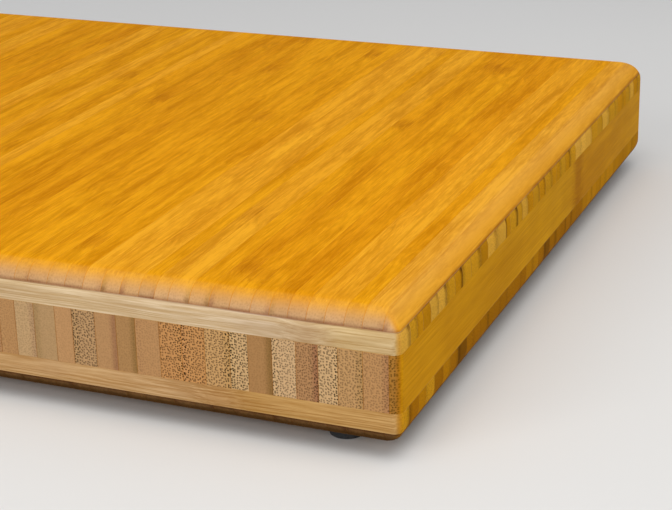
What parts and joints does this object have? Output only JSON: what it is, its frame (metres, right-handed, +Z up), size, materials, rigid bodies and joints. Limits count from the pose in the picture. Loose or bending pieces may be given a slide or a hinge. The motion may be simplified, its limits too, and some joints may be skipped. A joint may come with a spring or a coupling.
{
  "type": "cutting board",
  "caption": "Thick rectangular cutting board of cross-laid glued bamboo plies with rounded edges, standing on small screwed rubber feet.",
  "frame": {"origin": "centre of the footprint, on the surface that the feet stand on", "axes": "+Z up through the plies, +X along the board's length, -Y towards the long front edge"},
  "size_m": [0.4572, 0.3048, 0.0485],
  "materials": {
    "face_bamboo": "satin, oiled",
    "upper_cross_bamboo": "satin, oiled",
    "core_bamboo": "satin, oiled",
    "lower_cross_bamboo": "satin, oiled",
    "foot_rubber": "matte",
    "screw_steel": "zinc plated"
  },
  "bodies": {
    "root": {"bottom_face_panel_1": "face_bamboo", "bottom_face_panel_2": "face_bamboo", "bottom_face_panel_3": "face_bamboo", "bottom_face_panel_4": "face_bamboo", "bottom_face_panel_5": "face_bamboo", "bottom_face_panel_6": "face_bamboo", "lower_cross_panel_1": "lower_cross_bamboo", "lower_cross_panel_2": "lower_cross_bamboo", "lower_cross_panel_3": "lower_cross_bamboo", "lower_cross_panel_4": "lower_cross_bamboo", "core_stave_01": "core_bamboo", "core_stave_02": "core_bamboo", "core_stave_03": "core_bamboo", "core_stave_04": "core_bamboo", "core_stave_05": "core_bamboo", "core_stave_06": "core_bamboo", "core_stave_07": "core_bamboo", "core_stave_08": "core_bamboo", "core_stave_09": "core_bamboo", "core_stave_10": "core_bamboo", "core_stave_11": "core_bamboo", "core_stave_12": "core_bamboo", "core_stave_13": "core_bamboo", "core_stave_14": "core_bamboo", "core_stave_15": "core_bamboo", "core_stave_16": "core_bamboo", "core_stave_17": "core_bamboo", "core_stave_18": "core_bamboo", "core_stave_19": "core_bamboo", "core_stave_20": "core_bamboo", "core_stave_21": "core_bamboo", "core_stave_22": "core_bamboo", "core_stave_23": "core_bamboo", "core_stave_24": "core_bamboo", "core_stave_25": "core_bamboo", "core_stave_26": "core_bamboo", "core_stave_27": "core_bamboo", "core_stave_28": "core_bamboo", "core_stave_29": "core_bamboo", "core_stave_30": "core_bamboo", "core_stave_31": "core_bamboo", "upper_cross_panel_1": "upper_cross_bamboo", "upper_cross_panel_2": "upper_cross_bamboo", "upper_cross_panel_3": "upper_cross_bamboo", "upper_cross_panel_4": "upper_cross_bamboo", "top_face_panel_1": "face_bamboo", "top_face_panel_2": "face_bamboo", "top_face_panel_3": "face_bamboo", "top_face_panel_4": "face_bamboo", "top_face_panel_5": "face_bamboo", "top_face_panel_6": "face_bamboo", "foot_front_left": "foot_rubber", "foot_screw_front_left": "screw_steel", "foot_front_right": "foot_rubber", "foot_screw_front_right": "screw_steel", "foot_back_left": "foot_rubber", "foot_screw_back_left": "screw_steel", "foot_back_right": "foot_rubber", "foot_screw_back_right": "screw_steel"}
  },
  "joints": []
}
